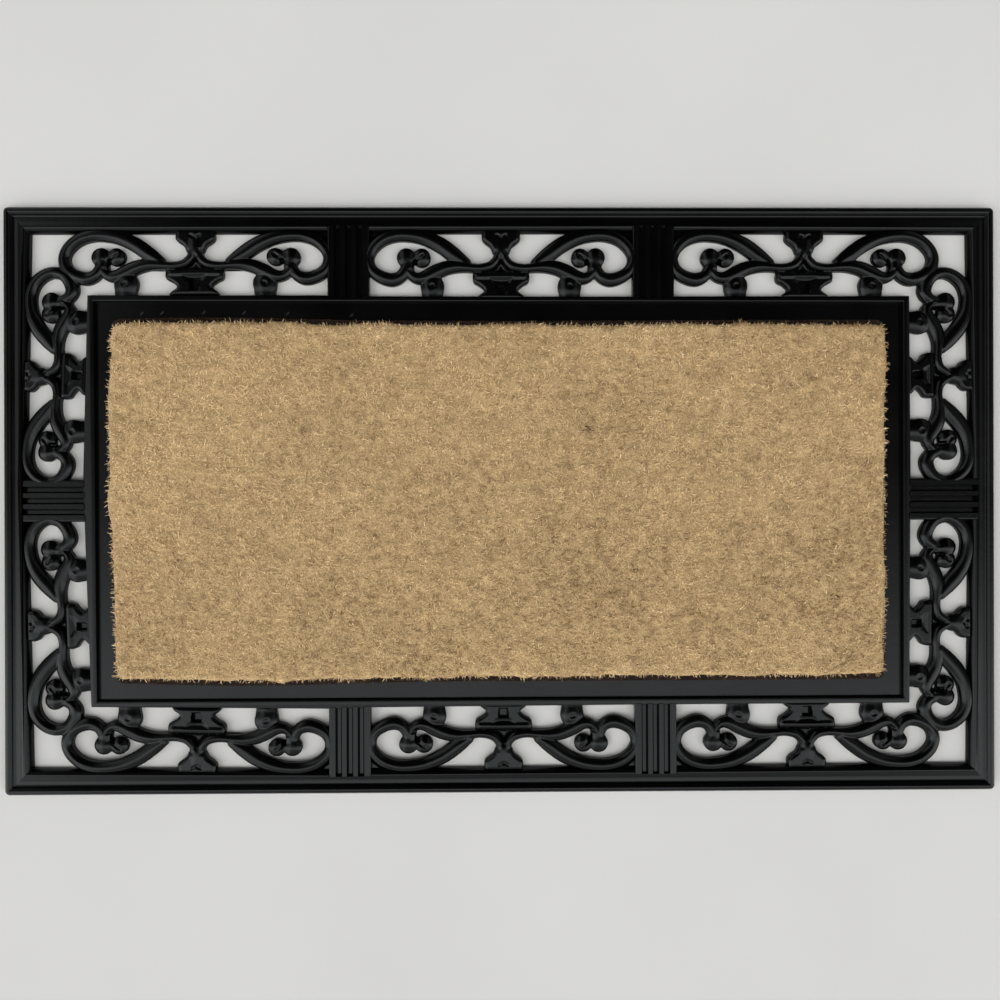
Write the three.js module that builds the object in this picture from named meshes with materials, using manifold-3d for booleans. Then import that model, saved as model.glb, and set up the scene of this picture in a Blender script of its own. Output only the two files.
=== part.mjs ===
// Coir door mat in a moulded rubber surround with a pierced scrollwork border.
// Millimetres, +Z up. The origin is under the middle of the mat, on the ground.
import * as THREE from 'three';
import { mergeVertices } from 'three/addons/utils/BufferGeometryUtils.js';
import Module from 'manifold-3d';

const wasm = await Module();
wasm.setup();

// Driving dimensions
const MAT_LENGTH = 760;
const MAT_WIDTH = 450;
const MAT_CORNER_RADIUS = 4;
const RAIL_WIDTH = 20;
const RAIL_HEIGHT = 9;
const LIP_HEIGHT = 8;
const LIP_CROWN_INSET = 16;
const GROOVE_HEIGHT = 4.6;

const TRAY_LENGTH = 628;
const TRAY_WIDTH = 314;
const TRAY_RIM_HEIGHT = 7.5;
const TRAY_RIM_WIDTH = 4;
const TRAY_FLOOR_TOP = 3;
const TRAY_FLOOR_BOTTOM = 1.25;
const TRAY_FOOT_WIDTH = 14;

const PANEL_PITCH = 234;
const SIDE_PANEL_OFFSET = 95.5;
const BAND_WIDTH = 32;
const BAND_REEDS = 4;
const REED_PITCH = 8.5;
const REED_WIDTH = 4.6;
const REED_HEIGHT = 8;
const BAND_HEIGHT = 5;
const RIB_HEIGHT = 7;
const WEB_HEIGHT = 3;

const STUD_DIAMETER = 8;
const STUD_PITCH = 48;

const INSERT_LENGTH = 590;
const INSERT_WIDTH = 277;
const INSERT_CORNER_RADIUS = 6;
const ADHESIVE_MARGIN = 3;
const ADHESIVE_THICKNESS = 0.5;
const BACKING_THICKNESS = 2.5;
const PILE_HEIGHT = 10.5;
const PILE_EDGE_ROUND = 2;

const ROUND_CORNER_STEPS = 2;
const SIMPLIFY_TOLERANCE = 0.15;
const CUT_MARGIN = 5;

// Scrollwork of one half-panel, drawn once in its own plane: u runs along the border from the
// panel's centre line, v runs outward from the tray. Every point is [u, v, rib width].
const LOOP_RIB = [
  [25, 24, 5], [37, 31.5, 11], [48, 39.5, 9.5], [60, 44.5, 8.5], [76, 45.5, 8.5], [92, 42, 8.5],
  [101.5, 31, 8.5], [98, 19.5, 8.5], [87, 14, 9], [75, 13.5, 8],
];
const STEM_RIB = [
  [3, 46, 7], [3.5, 33, 7], [9, 24.5, 7], [18, 21.5, 7], [32, 23, 7.5], [44, 20.5, 8],
  [56, 15, 9], [68, 13, 8], [76, 13.5, 6],
];
const CURL_NECK = [[84, 13, 8], [73, 17, 12], [71.5, 27, 11]];
const CURL_LOBES = [{ u: 72.5, v: 27.5, radius: 8 }, { u: 61, v: 29, radius: 6.5 }];
const KNOB = { u: 53, v: 7.6, radius: 8.6 };
const CAP = [[7, 35], [14, 40], [14, 50]];
const PEDESTAL = [[15, -1], [13, 3.5], [21, 9], [21, 18.5]];
const PEDESTAL_WEB = [[19, 17], [12, 24], [0, 35]];
const BAND_WEB = [[86, 50], [103, 50], [103, 30]];
const RIB_STEP = 6;
const DISC_SIDES = 10;
const CORNER_STRETCH = 0.975;
const SHORT_SIDE_STRETCH = 0.8;

const railHalf = { x: MAT_LENGTH / 2, y: MAT_WIDTH / 2 };
const trayHalf = { x: TRAY_LENGTH / 2, y: TRAY_WIDTH / 2 };
const stripWidth = { x: railHalf.x - RAIL_WIDTH - trayHalf.x, y: railHalf.y - RAIL_WIDTH - trayHalf.y };

// --- Geometry helpers ---------------------------------------------------------------------------

function toSolid(geometry) {
  const bare = geometry.clone();
  bare.deleteAttribute('normal');
  bare.deleteAttribute('uv');
  const merged = mergeVertices(bare, 1e-4);
  const vertProperties = new Float32Array(merged.attributes.position.array);
  const triVerts = new Uint32Array(merged.index.array);
  return new wasm.Manifold(new wasm.Mesh({ numProp: 3, vertProperties, triVerts }));
}

function toGeometry(solid) {
  const mesh = solid.getMesh();
  const geometry = new THREE.BufferGeometry();
  geometry.setAttribute('position', new THREE.BufferAttribute(mesh.vertProperties, 3));
  geometry.setIndex(new THREE.BufferAttribute(mesh.triVerts, 1));
  geometry.computeVertexNormals();
  return geometry;
}

function prism(shape, bottom, top) {
  const geometry = new THREE.ExtrudeGeometry(shape, {
    depth: top - bottom,
    bevelEnabled: false,
    curveSegments: ROUND_CORNER_STEPS,
  });
  geometry.translate(0, 0, bottom);
  return toSolid(geometry);
}

function box(x0, x1, y0, y1, z0, z1) {
  const geometry = new THREE.BoxGeometry(x1 - x0, y1 - y0, z1 - z0);
  geometry.translate((x0 + x1) / 2, (y0 + y1) / 2, (z0 + z1) / 2);
  return toSolid(geometry);
}

function roundedRectangle(length, width, radius) {
  const x = length / 2;
  const y = width / 2;
  const shape = new THREE.Shape();
  shape.absarc(x - radius, y - radius, radius, 0, Math.PI / 2);
  shape.absarc(radius - x, y - radius, radius, Math.PI / 2, Math.PI);
  shape.absarc(radius - x, radius - y, radius, Math.PI, 1.5 * Math.PI);
  shape.absarc(x - radius, radius - y, radius, 1.5 * Math.PI, 2 * Math.PI);
  return shape;
}

// A moulding that runs round a rectangle with mitred corners. The profile is a closed outline of
// [inset from the rectangle, height], from the outer bottom edge inward and back over the top.
function mitredFrame(half, profile) {
  const corners = [[1, -1], [1, 1], [-1, 1], [-1, -1]];
  const positions = corners.flatMap(([sx, sy]) =>
    profile.flatMap(([inset, z]) => [sx * (half.x - inset), sy * (half.y - inset), z]));
  const count = profile.length;
  const index = [];
  for (let side = 0; side < 4; side += 1) {
    const here = side * count;
    const next = ((side + 1) % 4) * count;
    for (let i = 0; i < count; i += 1) {
      const j = (i + 1) % count;
      index.push(here + i, here + j, next + j);
      index.push(here + i, next + j, next + i);
    }
  }
  const geometry = new THREE.BufferGeometry();
  geometry.setAttribute('position', new THREE.Float32BufferAttribute(positions, 3));
  geometry.setIndex(index);
  return toSolid(geometry);
}

// --- Scrollwork ---------------------------------------------------------------------------------

// A rib of varying width that follows its centre line and is cut square at both ends.
function ribOutline(path, place) {
  const curve = new THREE.CatmullRomCurve3(path.map((point) => new THREE.Vector3(...point)));
  const steps = Math.round(curve.getLength() / RIB_STEP);
  const left = [];
  const right = [];
  for (let i = 0; i <= steps; i += 1) {
    const point = curve.getPointAt(i / steps);
    const along = curve.getTangentAt(i / steps).setZ(0).normalize();
    const half = point.z / 2;
    left.push(place(point.x - along.y * half, point.y + along.x * half));
    right.unshift(place(point.x + along.y * half, point.y - along.x * half));
  }
  return [...left, ...right];
}

function discOutline({ u, v, radius }, place) {
  return Array.from({ length: DISC_SIDES }, (_, i) => {
    const angle = (2 * Math.PI * (i + 0.5)) / DISC_SIDES;
    return place(u + radius * Math.cos(angle), v + radius * Math.sin(angle));
  });
}

// An outline given for one side of the panel's centre line, completed by its mirror image.
function mirroredOutline(half, place) {
  const other = half.map(([u, v]) => [-u, v]).reverse();
  return [...half, ...other].filter(([u], i) => u !== 0 || i < half.length).map(([u, v]) => place(u, v));
}

function halfPanelOutlines(place) {
  return [
    ribOutline(LOOP_RIB, place),
    ribOutline(STEM_RIB, place),
    ribOutline(CURL_NECK, place),
    ...CURL_LOBES.map((lobe) => discOutline(lobe, place)),
    discOutline(KNOB, place),
  ];
}

// Places points of the drawn half-panel on a long side of the mat or on a short one.
function onLongSide(side, centre, way, stretch) {
  return (u, v) => [centre + way * u * stretch, side * (trayHalf.y + v)];
}

function onShortSide(side, centre, way, stretch) {
  const squash = stripWidth.x / stripWidth.y;
  return (u, v) => [side * (trayHalf.x + v * squash), centre + way * u * stretch];
}

// Every panel as a function that places its points, from its centre line and for either way along
// the border; a half that ends at a corner is a little shorter than one that ends at a band.
function panels() {
  const list = [];
  for (const side of [-1, 1]) {
    for (const column of [-1, 0, 1]) {
      list.push({ put: onLongSide, side, centre: column * PANEL_PITCH, corner: column, stretch: 1 });
    }
    for (const row of [-1, 1]) {
      const centre = row * SIDE_PANEL_OFFSET;
      list.push({ put: onShortSide, side, centre, corner: row, stretch: SHORT_SIDE_STRETCH });
    }
  }
  return list;
}

function panelSolids({ put, side, centre, corner, stretch }) {
  const whole = put(side, centre, 1, stretch);
  const ribs = [mirroredOutline(CAP, whole), mirroredOutline(PEDESTAL, whole)];
  const webs = [mirroredOutline(PEDESTAL_WEB, whole)];
  for (const way of [-1, 1]) {
    const atCorner = way === corner;
    const place = put(side, centre, way, atCorner ? stretch * CORNER_STRETCH : stretch);
    ribs.push(...halfPanelOutlines(place));
    if (!atCorner) webs.push(BAND_WEB.map(([u, v]) => place(u, v)));
  }
  const raise = (outlines, height) => outlines.map((outline) => {
    const shape = new THREE.Shape(outline.map(([x, y]) => new THREE.Vector2(x, y)));
    return prism(shape, 0, height);
  });
  return [...raise(ribs, RIB_HEIGHT), ...raise(webs, WEB_HEIGHT)];
}

// --- Rubber surround ----------------------------------------------------------------------------

function outerRail() {
  const profile = [
    [0, 0], [RAIL_WIDTH, 0], [RAIL_WIDTH, GROOVE_HEIGHT], [18.5, 7], [LIP_CROWN_INSET, LIP_HEIGHT],
    [13.5, 7], [11, GROOVE_HEIGHT + 0.6], [7, GROOVE_HEIGHT], [6, 7.5], [3.2, RAIL_HEIGHT], [0.6, 7.5],
    [0, 5],
  ];
  const blank = prism(roundedRectangle(MAT_LENGTH, MAT_WIDTH, MAT_CORNER_RADIUS), 0, RAIL_HEIGHT);
  return mitredFrame(railHalf, profile).intersect(blank);
}

function trayRim() {
  const profile = [
    [0, 0], [TRAY_FOOT_WIDTH, 0], [TRAY_FOOT_WIDTH, TRAY_FLOOR_TOP], [TRAY_RIM_WIDTH + 0.5, TRAY_FLOOR_TOP],
    [TRAY_RIM_WIDTH, 6.5], [TRAY_RIM_WIDTH / 2, TRAY_RIM_HEIGHT], [0, 6.5],
  ];
  return mitredFrame(trayHalf, profile);
}

function trayFloor() {
  const x = trayHalf.x - TRAY_FOOT_WIDTH;
  const y = trayHalf.y - TRAY_FOOT_WIDTH;
  return box(-x, x, -y, y, TRAY_FLOOR_BOTTOM, TRAY_FLOOR_TOP);
}

function gripStuds() {
  const columns = Math.floor((TRAY_LENGTH / 2 - TRAY_FOOT_WIDTH - STUD_DIAMETER) / STUD_PITCH);
  const rows = Math.floor((TRAY_WIDTH / 2 - TRAY_FOOT_WIDTH - STUD_DIAMETER) / STUD_PITCH);
  const height = TRAY_FLOOR_TOP - TRAY_FLOOR_BOTTOM;
  const studs = [];
  for (let column = -columns; column <= columns; column += 1) {
    for (let row = -rows; row <= rows; row += 1) {
      const stud = new THREE.CylinderGeometry(STUD_DIAMETER / 2, STUD_DIAMETER / 2, height, 6);
      stud.rotateX(Math.PI / 2);
      stud.translate(column * STUD_PITCH, row * STUD_PITCH, height / 2);
      studs.push(toSolid(stud));
    }
  }
  return studs;
}

// Reeded bands cross the border from the tray to the crown of the rail's lip.
function bandBox(across, from, to, z0, z1, turned) {
  return turned
    ? box(Math.min(from, to), Math.max(from, to), across[0], across[1], z0, z1)
    : box(across[0], across[1], Math.min(from, to), Math.max(from, to), z0, z1);
}

function bandPositions() {
  const positions = [];
  for (const side of [-1, 1]) {
    for (const way of [-1, 1]) {
      positions.push({ centre: (way * PANEL_PITCH) / 2, side, turned: false });
    }
    positions.push({ centre: 0, side, turned: true });
  }
  return positions;
}

function bandSpan({ side, turned }) {
  const tray = turned ? trayHalf.x : trayHalf.y;
  const crown = (turned ? railHalf.x : railHalf.y) - LIP_CROWN_INSET;
  return [side * (tray - 0.5), side * crown];
}

function bandNotch(position) {
  const [from, to] = bandSpan(position);
  const across = [position.centre - BAND_WIDTH / 2, position.centre + BAND_WIDTH / 2];
  const start = from + position.side * TRAY_RIM_WIDTH;
  return bandBox(across, start, to, BAND_HEIGHT, RAIL_HEIGHT + CUT_MARGIN, position.turned);
}

function bandReeds(position) {
  const [from, to] = bandSpan(position);
  const { centre, turned } = position;
  const plate = [centre - BAND_WIDTH / 2, centre + BAND_WIDTH / 2];
  const pieces = [bandBox(plate, from, to, 0, BAND_HEIGHT, turned)];
  for (let reed = 0; reed < BAND_REEDS; reed += 1) {
    const middle = centre + (reed - (BAND_REEDS - 1) / 2) * REED_PITCH;
    const across = [middle - REED_WIDTH / 2, middle + REED_WIDTH / 2];
    pieces.push(bandBox(across, from, to, 0, REED_HEIGHT, turned));
  }
  return pieces;
}

function rubberSurround() {
  const positions = bandPositions();
  const tray = [trayRim(), trayFloor(), ...gripStuds()];
  const plain = wasm.Manifold.union([outerRail(), ...tray, ...panels().flatMap(panelSolids)]);
  const notched = plain.subtract(wasm.Manifold.union(positions.map(bandNotch)));
  const solid = wasm.Manifold.union([notched, ...positions.flatMap(bandReeds)]);
  return solid.asOriginal().simplify(SIMPLIFY_TOLERANCE);
}

// --- Coir insert --------------------------------------------------------------------------------

const adhesiveTop = TRAY_FLOOR_TOP + ADHESIVE_THICKNESS;
const backingTop = adhesiveTop + BACKING_THICKNESS;
const pileTop = backingTop + PILE_HEIGHT;

function adhesiveBond() {
  const length = INSERT_LENGTH - 2 * ADHESIVE_MARGIN;
  const width = INSERT_WIDTH - 2 * ADHESIVE_MARGIN;
  return prism(roundedRectangle(length, width, INSERT_CORNER_RADIUS), TRAY_FLOOR_TOP, adhesiveTop);
}

function coirBacking() {
  const outline = roundedRectangle(INSERT_LENGTH, INSERT_WIDTH, INSERT_CORNER_RADIUS);
  return prism(outline, adhesiveTop, backingTop);
}

// The pile is the same outline with its upper edge rounded over, as cut fibres splay there.
function coirPile() {
  const outline = roundedRectangle(
    INSERT_LENGTH - 2 * PILE_EDGE_ROUND,
    INSERT_WIDTH - 2 * PILE_EDGE_ROUND,
    INSERT_CORNER_RADIUS - PILE_EDGE_ROUND,
  );
  const geometry = new THREE.ExtrudeGeometry(outline, {
    depth: PILE_HEIGHT,
    bevelEnabled: true,
    bevelSize: PILE_EDGE_ROUND,
    bevelThickness: PILE_EDGE_ROUND,
    bevelSegments: 2,
    curveSegments: ROUND_CORNER_STEPS,
  });
  geometry.translate(0, 0, pileTop - PILE_EDGE_ROUND - PILE_HEIGHT);
  const below = box(-MAT_LENGTH, MAT_LENGTH, -MAT_WIDTH, MAT_WIDTH, -CUT_MARGIN, backingTop);
  return toSolid(geometry).subtract(below);
}

// --- Assembly -----------------------------------------------------------------------------------

function named(name, solid, color, roughness) {
  const material = new THREE.MeshStandardMaterial({ color, roughness, metalness: 0 });
  const mesh = new THREE.Mesh(toGeometry(solid), material);
  mesh.name = name;
  return mesh;
}

const doorMat = new THREE.Group();
doorMat.add(named('rubber_surround', rubberSurround(), 0x1c1c1f, 0.6));
doorMat.add(named('adhesive_bond', adhesiveBond(), 0xb59b5a, 0.5));
doorMat.add(named('coir_backing', coirBacking(), 0x2a2723, 0.7));
doorMat.add(named('coir_pile', coirPile(), 0xb9935c, 0.95));

export default doorMat;
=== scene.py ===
"""Looks of a coir door mat in a moulded rubber surround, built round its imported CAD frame.

Shapes are worked out in millimetres and turned into metres when a mesh is made.
"""

import math

import bmesh
import bpy
import numpy as np
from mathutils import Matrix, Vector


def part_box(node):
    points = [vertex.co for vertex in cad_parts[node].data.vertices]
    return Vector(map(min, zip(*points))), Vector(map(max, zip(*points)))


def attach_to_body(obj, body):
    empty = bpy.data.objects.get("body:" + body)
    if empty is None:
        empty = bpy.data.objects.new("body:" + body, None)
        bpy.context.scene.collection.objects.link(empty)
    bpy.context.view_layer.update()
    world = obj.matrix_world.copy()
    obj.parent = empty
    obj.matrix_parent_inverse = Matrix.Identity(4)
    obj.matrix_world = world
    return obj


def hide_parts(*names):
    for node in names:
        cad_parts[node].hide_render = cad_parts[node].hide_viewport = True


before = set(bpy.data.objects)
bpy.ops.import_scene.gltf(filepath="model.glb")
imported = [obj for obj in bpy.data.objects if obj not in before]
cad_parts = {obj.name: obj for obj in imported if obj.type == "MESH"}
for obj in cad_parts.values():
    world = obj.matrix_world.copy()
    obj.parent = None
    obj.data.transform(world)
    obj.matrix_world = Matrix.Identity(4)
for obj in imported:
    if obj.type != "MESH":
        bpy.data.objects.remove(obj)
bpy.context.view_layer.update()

MM = 0.001
rng = np.random.default_rng(7)


# --- Sizes, in millimetres, from the frame and from the CAD design ------------------------------

def box_mm(node):
    low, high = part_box(node)
    return np.array(low) / MM, np.array(high) / MM


MAT_HALF = box_mm("rubber_surround")[1][:2]
MAT_CORNER_RADIUS = 4
RAIL_WIDTH = 20
LIP_CROWN_INSET = 15
TRAY_HALF = np.array([314.0, 157.0])
TRAY_FLOOR_TOP = box_mm("adhesive_bond")[0][2]
TRAY_FLOOR_BOTTOM = 1.25
TRAY_FOOT_WIDTH = 14
STRIP_WIDTH = MAT_HALF - RAIL_WIDTH - TRAY_HALF

PANEL_PITCH = 234
SIDE_PANEL_OFFSET = 95.5
SHORT_SIDE_STRETCH = 0.8
CORNER_STRETCH = 0.975
BAND_HALF = 16
REED_PITCH = 8.5
REED_FOOT = 4.3
REED_RISE = 3.6
BAND_EDGE_ROUND = 1.2
BAND_OVERLAP = 1.2

NIB_PLACES = [-273, -258, -227, -197, -164, -115]
NIB_ROW = 142.4
NIB_LENGTH = 4.4
NIB_WIDTH = 1.6
NIB_HEIGHT = 1.2
NIB_SLOPE = 0.45
NIB_TAPER = 0.75
NIB_TURN = math.radians(39)
BOX_FACES = [[0, 3, 2, 1], [4, 5, 6, 7], [0, 1, 5, 4], [1, 2, 6, 5], [2, 3, 7, 6], [3, 0, 4, 7]]

INSERT_HALF = box_mm("coir_backing")[1][:2]
INSERT_CORNER_RADIUS = 6
BACKING_BOTTOM = box_mm("coir_backing")[0][2]
BACKING_TOP = box_mm("coir_backing")[1][2]
PILE_TOP = box_mm("coir_pile")[1][2]

# Outer rail: [inset from the mat's edge, height] over its bead, groove and lip.
RAIL_PROFILE = [
    [0, 4.4], [0.2, 6.2], [0.8, 7.6], [1.7, 8.5], [2.8, 8.9], [3.8, 8.9], [4.6, 8.7], [5.3, 8.3],
    [5.9, 7.7], [6.3, 7.0], [6.6, 6.4], [7, 6.15], [8.5, 6.1], [10.8, 6.15], [11.8, 6.45], [13, 7.1],
    [14.2, 7.7], [15.3, 7.95], [16.4, 7.8], [17.4, 7.3], [18.2, 6.5], [18.8, 5.5], [19.4, 4.3], [20, 3.3],
]
# Tray rim: [inset from the tray's edge, height] from its outer wall to the tray's floor.
TRAY_PROFILE = [
    [0, 5.4], [0.3, 6.5], [0.8, 7.2], [1.6, 7.4], [4.1, 7.38], [4.6, 7.28], [4.9, 7.05],
    [5.05, 6.7], [5.1, 6.2], [5.15, 3.3], [5.3, 3],
]

# Scrollwork of one half-panel: u runs along the border from the panel's centre line and v outward
# from the tray. A rib's rows are [u, v, width, crown height].
LOOP_RIB = [
    [27, 25.7, 8, 7.6], [36, 31.7, 11.3, 7.9], [46, 38.7, 11.5, 8.1], [57, 43.8, 10.5, 8.2],
    [68, 46.2, 9.6, 8.3], [80, 46.4, 9.2, 8.3], [91, 43, 9, 8.3], [99, 36, 8.8, 8.2], [101.8, 28, 8.6, 8.1],
    [99, 20, 9, 8], [92, 14.9, 9.6, 8], [84, 12.9, 10, 7.9], [77.5, 15.2, 9, 7.8], [74, 20.5, 8.2, 7.4],
    [73, 26, 8, 7.2],
]
S_RIB = [
    [2.5, 31, 6, 7.4], [4.6, 27, 6.4, 7.7], [9, 23.2, 7, 7.8], [17, 21.7, 6.6, 7.8], [26, 22.3, 7, 7.8],
    [35, 22.9, 9, 7.8], [44, 21.5, 10.5, 7.8], [52, 18.1, 11, 7.8], [60, 14.5, 9.5, 7.8],
    [66, 14.5, 8, 7.6], [70, 18.5, 8, 7.4], [71, 24, 8, 7.2],
]
STEM_RIB = [[0, 31.5, 6, 7.3], [0, 34, 12, 7.9], [0, 37, 13.4, 7.9], [0, 41, 13, 7.7], [0, 45, 11, 7.4]]
# Plateaus and webs are [height, width of the rounded shoulder] and the right half of their outline.
CAP = [7.4, 3.2], [[6.4, 33.5], [8.6, 37.4], [12.4, 40.2], [14.6, 42.8], [14.8, 46], [14.2, 50]]
PEDESTAL = [7.3, 2.6], [
    [19, -2], [17.2, 1], [13, 4.4], [16.4, 8], [20.6, 10.4], [21.8, 13.5], [21.6, 17], [20.4, 18.4],
]
PEDESTAL_BAR = [[-17.5, 15.2, 5.6, 7.9], [17.5, 15.2, 5.6, 7.9]]
KNOB_FOOT = [[52.9, -2, 15.5, 6.8], [52.9, 8, 17.4, 7.4]]
TRIANGLE_WEB = [2.0, 0], [[14, 16], [9, 24], [0, 30]]
BAND_WEB = [2.6, 0], [[84, 52], [106, 52], [106, 28]]
# Hollows are [depth, width of their slope] and the right half of their outline.
RECESS = [5.6, 1.2], [[0, 1.5], [3.7, 1.5], [3.9, 9.8], [0, 9.8]]
DISH = [1.7, 4.2], [[0, 8], [6.4, 9], [10.4, 14.6], [0, 14.6]]
# Domes are [u, v, radius, crown height].
DOMES = [[52.7, 8.0, 8.8, 7.7], [72.8, 29.3, 7.2, 7.9], [61.0, 29.4, 6.9, 7.7]]
# Grooves are [u, v] to [u, v], with a radius and a depth.
GROOVES = [
    [[52.6, 8.2], [53.6, 7.8], 1.9, 0.7],
    [[66.0, 20], [65.8, 26.8], 1.2, 3.4],
    [[64.2, 28.4], [60.2, 31.4], 1.5, 1.2],
    [[66.0, 17.4], [69.5, 19.8], 1.0, 1.4],
    [[0.4, 44.2], [3.4, 46.0], 1.2, 0.7],
]

RIB_DROP = 2.7
OUTER_SLOPE = 2.0
EDGE_BLEND = 1.4
CROWN_BLEND = 1.1
FRET_CELL = 0.6
FRET_OVERLAP = 1.6
FRET_BOTTOM = 0.15
FRET_LEAST_THICKNESS = 1
SNAP_REACH = 0.3 * FRET_CELL
LEAST_STEEPNESS = 0.25

# Angles, in degrees, past which an edge between two faces shows as a crease.
FRET_CREASE = 50
FRAME_CREASE = 32
BACKING_CREASE = 40


# --- Mesh helpers -------------------------------------------------------------------------------

def shade_smooth(mesh, crease=None):
    """Shades a mesh smooth, except at edges sharper than the crease angle in degrees."""
    mesh.polygons.foreach_set("use_smooth", np.ones(len(mesh.polygons), bool))
    if crease is not None:
        mesh.set_sharp_from_angle(angle=math.radians(crease))


def mesh_object(name, points, faces, materials, crease=None):
    """A smooth object from points in millimetres."""
    mesh = bpy.data.meshes.new(name)
    mesh.from_pydata(np.asarray(points, float) * MM, [], faces)
    for material in materials:
        mesh.materials.append(material)
    piece = bpy.data.objects.new(name, mesh)
    bpy.context.scene.collection.objects.link(piece)
    shade_smooth(mesh, crease)
    mesh.update()
    return piece


def grid_faces(rows, columns, wrap=False):
    """Quads of a grid of points stored row by row; wrap joins the last column to the first."""
    row = np.arange(rows - 1)[:, None] * columns
    column = np.arange(columns if wrap else columns - 1)[None, :]
    here = row + column
    right = row + (column + 1) % columns
    return np.stack([here, right, right + columns, here + columns], axis=-1).reshape(-1, 4)


def rounded_rectangle(half, radius):
    """Points anticlockwise round a rectangle with rounded corners."""
    corner_steps = 6
    points = []
    for quarter, (sx, sy) in enumerate([(1, 1), (-1, 1), (-1, -1), (1, -1)]):
        centre = np.array([sx * (half[0] - radius), sy * (half[1] - radius)])
        for i in range(corner_steps + 1):
            angle = (quarter + i / corner_steps) * math.pi / 2
            points.append(centre + radius * np.array([math.cos(angle), math.sin(angle)]))
    return np.array(points)


def smooth_path(points):
    """A Catmull-Rom curve through the rows, sampled between each two of them."""
    samples = 8
    p = np.asarray(points, float)
    p = np.vstack([2 * p[0] - p[1], p, 2 * p[-1] - p[-2]])
    t = np.linspace(0, 1, samples, endpoint=False)[:, None]
    rows = []
    for a, b, c, d in zip(p, p[1:], p[2:], p[3:]):
        cubic = (3 * b - a - 3 * c + d) * t ** 3 + (2 * a - 5 * b + 4 * c - d) * t ** 2
        rows.append(0.5 * (cubic + (c - a) * t + 2 * b))
    return np.vstack([*rows, p[-2]])


def ease(share):
    """A share from 0 to 1 that starts and stops gently."""
    return share * share * (3 - 2 * share)


def lattice_noise(x, y, cell, seed):
    """Smooth noise from -1 to 1 over a repeating lattice of that cell size, in millimetres."""
    repeat = 64
    lattice = np.random.default_rng(seed).uniform(-1, 1, (repeat, repeat))
    u, v = x / cell, y / cell
    i, j = np.floor(u).astype(int), np.floor(v).astype(int)
    fu, fv = ease(u - i), ease(v - j)
    i, j, next_i, next_j = i % repeat, j % repeat, (i + 1) % repeat, (j + 1) % repeat
    low = lattice[i, j] * (1 - fu) + lattice[next_i, j] * fu
    high = lattice[i, next_j] * (1 - fu) + lattice[next_i, next_j] * fu
    return low * (1 - fv) + high * fv


def smooth_min(a, b, blend):
    near = np.clip(blend - np.abs(a - b), 0, None) / blend
    return np.minimum(a, b) - near * near * blend / 4


def smooth_max(a, b, blend):
    return -smooth_min(-a, -b, blend)


# --- Scrollwork: a field of distances and heights, and the mesh made from it --------------------

def rounded_top(distance, half, crown):
    """Height over a rib or dome: a round arc across its top and a steep slope past its edge."""
    radius = (half ** 2 + RIB_DROP ** 2) / (2 * RIB_DROP)
    inside = np.minimum(distance, half)
    arc = crown - radius + np.sqrt(radius ** 2 - inside ** 2)
    return arc - OUTER_SLOPE * np.clip(distance - half, 0, None)


def rib_field(rows):
    """A rib along rows of [x, y, width, crown]. Gives its distance from the edge and its height."""
    a, b = rows[:-1], rows[1:]
    along = b - a
    length_squared = (along[:, :2] ** 2).sum(1)

    def field(x, y):
        px, py = x[:, None] - a[:, 0], y[:, None] - a[:, 1]
        share = np.clip((px * along[:, 0] + py * along[:, 1]) / length_squared, 0, 1)
        distance = np.hypot(px - share * along[:, 0], py - share * along[:, 1])
        half = (a[:, 2] + share * along[:, 2]) / 2
        nearest = (distance - half).argmin(1)
        pick = np.arange(len(x)), nearest
        crown = (a[:, 3] + share * along[:, 3])[pick]
        return distance[pick] - half[pick], rounded_top(distance[pick], half[pick], crown)

    reach = rows[:, 2].max() / 2
    return field, rows[:, :2].min(0) - reach, rows[:, :2].max(0) + reach


def dome_field(centre, radius, crown):
    def field(x, y):
        distance = np.hypot(x - centre[0], y - centre[1])
        return distance - radius, rounded_top(distance, np.full_like(distance, radius), crown)

    return field, centre - radius, centre + radius


def signed_distance(outline, x, y):
    """Distance from a polygon's outline, negative inside it."""
    a, b = outline, np.roll(outline, -1, axis=0)
    along = b - a
    px, py = x[:, None] - a[:, 0], y[:, None] - a[:, 1]
    length_squared = np.maximum((along ** 2).sum(1), 1e-9)
    share = np.clip((px * along[:, 0] + py * along[:, 1]) / length_squared, 0, 1)
    distance = np.hypot(px - share * along[:, 0], py - share * along[:, 1]).min(1)
    crosses = (a[:, 1] > y[:, None]) != (b[:, 1] > y[:, None])
    rise = np.where(along[:, 1] == 0, 1, along[:, 1])
    inside = (crosses & (px < along[:, 0] * py / rise)).sum(1) % 2 == 1
    return np.where(inside, -distance, distance)


def plateau_field(outline, height, shoulder):
    """A flat top inside a polygon, rounded over near its edge where it has a shoulder."""
    def field(x, y):
        edge = signed_distance(outline, x, y)
        top = height - OUTER_SLOPE * np.clip(edge, 0, None)
        if shoulder:
            share = np.clip(1 + edge / shoulder, 0, 1)
            top -= shoulder * (1 - np.sqrt(1 - 0.9 * share ** 2))
        return edge, top

    return field, outline.min(0), outline.max(0)


def hollow(outline, depth, slope):
    """Depths to cut away inside a polygon, that grow over a slope from its edge."""
    def carve(x, y):
        return depth * np.clip(-signed_distance(outline, x, y) / slope, 0, 1)

    return carve


def groove(ends, radius, depth):
    """Depths to cut away along a short groove with a flat bed."""
    start, end = ends
    along = end - start

    def carve(x, y):
        share = np.clip(((x - start[0]) * along[0] + (y - start[1]) * along[1]) / (along @ along), 0, 1)
        distance = np.hypot(x - start[0] - share * along[0], y - start[1] - share * along[1])
        return depth * np.exp(-(distance / radius) ** 3)

    return carve


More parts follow.
